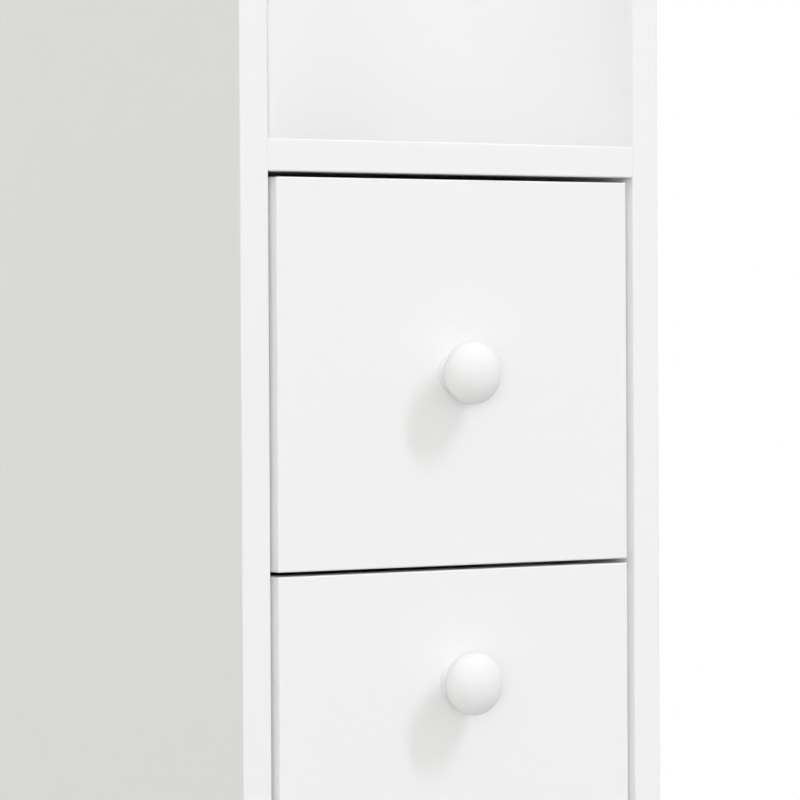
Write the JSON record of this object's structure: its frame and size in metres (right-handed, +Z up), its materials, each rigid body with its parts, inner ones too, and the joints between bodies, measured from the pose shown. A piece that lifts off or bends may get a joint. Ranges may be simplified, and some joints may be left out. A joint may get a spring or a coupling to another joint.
{
  "type": "bathroom storage tower",
  "caption": "Slim free-standing white bathroom tower with open shelf compartments over inset drawers that run on roller slides, each drawer with a round knob.",
  "frame": {"origin": "centre of the whole tower's footprint, knobs included, on the floor under the glides", "axes": "+Z up, +X to the right when facing the front, front towards -Y"},
  "size_m": [0.25, 0.4242, 1.6],
  "materials": {
    "white_foil_board": "smooth satin white foil on fibreboard",
    "white_fibreboard": "thin hardboard painted matt white",
    "white_lacquer": "turned wood in soft gloss white lacquer",
    "coated_steel": "white powder coat",
    "zinc_plated_steel": "bright zinc plate",
    "beech": "raw beech with fluted sides",
    "white_nylon": "moulded nylon"
  },
  "bodies": {
    "carcass": {"left_side_panel": "white_foil_board", "right_side_panel": "white_foil_board", "top_panel": "white_foil_board", "bottom_panel": "white_foil_board", "fixed_shelf": "white_foil_board", "adjustable_shelf": "white_foil_board", "kickboard": "white_foil_board", "rear_rail": "white_foil_board", "upper_back_panel": "white_fibreboard", "lower_back_panel": "white_fibreboard", "cam_locks": "zinc_plated_steel", "cam_bolts": "zinc_plated_steel", "wood_dowels": "beech", "shelf_pins": "zinc_plated_steel", "back_nails": "zinc_plated_steel", "foot_glides": "white_nylon", "wall_bracket": "zinc_plated_steel", "bracket_screws": "zinc_plated_steel", "rail_screws": "zinc_plated_steel", "upper_cabinet_rail_left": "coated_steel", "upper_cabinet_rail_right": "coated_steel", "middle_cabinet_rail_left": "coated_steel", "middle_cabinet_rail_right": "coated_steel", "lower_cabinet_rail_left": "coated_steel", "lower_cabinet_rail_right": "coated_steel"},
    "upper_drawer": {"upper_drawer_front": "white_foil_board", "upper_drawer_knob": "white_lacquer", "upper_drawer_side_left": "white_foil_board", "upper_drawer_side_right": "white_foil_board", "upper_drawer_back": "white_foil_board", "upper_drawer_bottom": "white_fibreboard", "upper_drawer_rail_left": "coated_steel", "upper_drawer_rail_right": "coated_steel", "upper_drawer_fasteners": "zinc_plated_steel"},
    "upper_front_roller_pair": {"upper_front_rollers": "white_nylon"},
    "upper_rear_roller_pair": {"upper_rear_rollers": "white_nylon"},
    "middle_drawer": {"middle_drawer_front": "white_foil_board", "middle_drawer_knob": "white_lacquer", "middle_drawer_side_left": "white_foil_board", "middle_drawer_side_right": "white_foil_board", "middle_drawer_back": "white_foil_board", "middle_drawer_bottom": "white_fibreboard", "middle_drawer_rail_left": "coated_steel", "middle_drawer_rail_right": "coated_steel", "middle_drawer_fasteners": "zinc_plated_steel"},
    "middle_front_roller_pair": {"middle_front_rollers": "white_nylon"},
    "middle_rear_roller_pair": {"middle_rear_rollers": "white_nylon"},
    "lower_drawer": {"lower_drawer_front": "white_foil_board", "lower_drawer_knob": "white_lacquer", "lower_drawer_side_left": "white_foil_board", "lower_drawer_side_right": "white_foil_board", "lower_drawer_back": "white_foil_board", "lower_drawer_bottom": "white_fibreboard", "lower_drawer_rail_left": "coated_steel", "lower_drawer_rail_right": "coated_steel", "lower_drawer_fasteners": "zinc_plated_steel"},
    "lower_front_roller_pair": {"lower_front_rollers": "white_nylon"},
    "lower_rear_roller_pair": {"lower_rear_rollers": "white_nylon"}
  },
  "joints": [
    {"name": "upper_drawer_slide", "type": "slide", "parent": "carcass", "child": "upper_drawer", "axis": [0, -1, 0], "range_m": [0, 0.27]},
    {"name": "upper_front_rollers_turn", "type": "hinge", "parent": "carcass", "child": "upper_front_roller_pair", "pos_m": [0, -0.1559, 0.7168], "axis": [1, 0, 0], "continuous": true},
    {"name": "upper_rear_rollers_turn", "type": "hinge", "parent": "upper_drawer", "child": "upper_rear_roller_pair", "pos_m": [0, 0.1661, 0.7196], "axis": [1, 0, 0], "continuous": true},
    {"name": "middle_drawer_slide", "type": "slide", "parent": "carcass", "child": "middle_drawer", "axis": [0, -1, 0], "range_m": [0, 0.27]},
    {"name": "middle_front_rollers_turn", "type": "hinge", "parent": "carcass", "child": "middle_front_roller_pair", "pos_m": [0, -0.1559, 0.4094], "axis": [1, 0, 0], "continuous": true},
    {"name": "middle_rear_rollers_turn", "type": "hinge", "parent": "middle_drawer", "child": "middle_rear_roller_pair", "pos_m": [0, 0.1661, 0.4122], "axis": [1, 0, 0], "continuous": true},
    {"name": "lower_drawer_slide", "type": "slide", "parent": "carcass", "child": "lower_drawer", "axis": [0, -1, 0], "range_m": [0, 0.27]},
    {"name": "lower_front_rollers_turn", "type": "hinge", "parent": "carcass", "child": "lower_front_roller_pair", "pos_m": [0, -0.1559, 0.102], "axis": [1, 0, 0], "continuous": true},
    {"name": "lower_rear_rollers_turn", "type": "hinge", "parent": "lower_drawer", "child": "lower_rear_roller_pair", "pos_m": [0, 0.1661, 0.1048], "axis": [1, 0, 0], "continuous": true}
  ],
  "couplings": [
    {"joint": "upper_front_rollers_turn", "follows": "upper_drawer_slide", "rad_per_m": 138.89},
    {"joint": "upper_rear_rollers_turn", "follows": "upper_drawer_slide", "rad_per_m": 100},
    {"joint": "middle_front_rollers_turn", "follows": "middle_drawer_slide", "rad_per_m": 138.89},
    {"joint": "middle_rear_rollers_turn", "follows": "middle_drawer_slide", "rad_per_m": 100},
    {"joint": "lower_front_rollers_turn", "follows": "lower_drawer_slide", "rad_per_m": 138.89},
    {"joint": "lower_rear_rollers_turn", "follows": "lower_drawer_slide", "rad_per_m": 100}
  ]
}
